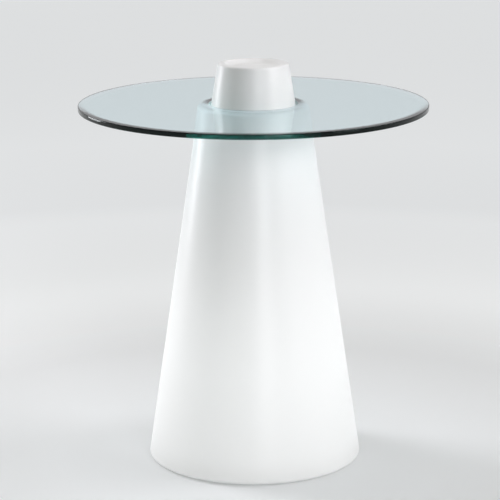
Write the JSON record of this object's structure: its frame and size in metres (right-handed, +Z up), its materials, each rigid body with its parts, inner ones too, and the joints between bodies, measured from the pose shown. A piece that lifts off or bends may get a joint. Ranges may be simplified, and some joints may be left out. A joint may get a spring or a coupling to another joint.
{
  "type": "light up side table",
  "caption": "Round clear glass top resting on the shoulder of a hollow white cone that is lit from inside by a rechargeable lamp module under its base.",
  "frame": {"origin": "on the floor under the middle of the table, which is the bottom centre of its box", "axes": "+Z up along the cone's axis, -Y towards the front as pictured, +X to the right"},
  "size_m": [0.69, 0.69, 0.8],
  "materials": {
    "shell_plastic": "satin translucent white polyethylene, lit from inside",
    "clear_glass": "clear float glass with a polished green edge",
    "clear_silicone": "clear soft silicone",
    "foot_rubber": "grey rubber",
    "module_plastic": "fine moulded grain",
    "button_plastic": "smooth moulding",
    "flap_plastic": "fine moulded grain",
    "gasket_silicone": "dark silicone",
    "black_plastic": "moulded",
    "grey_plastic": "moulded",
    "clear_plastic": "clear light pipe",
    "opal_plastic": "opal diffuser",
    "cell_wrap": "shrink sleeve",
    "green_board": "solder mask",
    "white_board": "white solder mask",
    "red_lead": "silicone sleeve",
    "black_lead": "silicone sleeve",
    "white_lead": "sheathed lead",
    "steel": "zinc or stainless steel",
    "nickel": "nickel strip",
    "brass": "turned",
    "aluminium": "rolled sheet"
  },
  "bodies": {
    "base": {"base_shell": "shell_plastic", "glass_seat_ring": "clear_silicone", "foot_1": "foot_rubber", "foot_2": "foot_rubber", "foot_3": "foot_rubber", "foot_4": "foot_rubber", "module_plate": "module_plastic", "module_gasket": "gasket_silicone", "module_screw_1": "steel", "module_screw_2": "steel", "module_screw_3": "steel", "module_screw_4": "steel", "module_screw_5": "steel", "module_screw_6": "steel", "module_insert_1": "brass", "module_insert_2": "brass", "module_insert_3": "brass", "module_insert_4": "brass", "module_insert_5": "brass", "module_insert_6": "brass", "battery_tray": "black_plastic", "battery_cell_1": "cell_wrap", "battery_cell_2": "cell_wrap", "battery_cell_3": "cell_wrap", "cell_strip_positive": "nickel", "cell_strip_negative": "nickel", "battery_strap": "steel", "strap_screw_1": "steel", "strap_screw_2": "steel", "battery_lead_positive": "red_lead", "battery_lead_negative": "black_lead", "control_board": "green_board", "board_screw_1": "steel", "board_screw_2": "steel", "board_screw_3": "steel", "board_screw_4": "steel", "tactile_switch": "black_plastic", "charge_socket": "black_plastic", "status_lens": "clear_plastic", "button_guide": "grey_plastic", "button_spring": "steel", "guide_screw_1": "steel", "guide_screw_2": "steel", "flap_pin": "steel", "heat_spreader": "aluminium", "led_board": "white_board", "led_screw_1": "steel", "led_screw_2": "steel", "led_screw_3": "steel", "diffuser_dome": "opal_plastic", "dome_clamp_ring": "module_plastic", "lamp_screw_1": "steel", "lamp_screw_2": "steel", "lamp_screw_3": "steel", "lamp_screw_4": "steel", "lamp_lead": "white_lead"},
    "top": {"glass_top": "clear_glass"},
    "button": {"power_button": "button_plastic"},
    "flap": {"charge_flap": "flap_plastic"}
  },
  "joints": [
    {"name": "glass_lift", "type": "slide", "parent": "base", "child": "top", "axis": [0, 0, 1], "range_m": [0, 0.1]},
    {"name": "button_press", "type": "slide", "parent": "base", "child": "button", "axis": [0, 0, 1], "range_m": [0, 0.0015], "stiffness_N_per_m": 300, "springref_m": -0.002, "deforming": ["button_spring"]},
    {"name": "flap_hinge", "type": "hinge", "parent": "base", "child": "flap", "pos_m": [0.022, -0.0339, 0.0288], "axis": [1, 0, 0], "range_deg": [0, 100]}
  ]
}
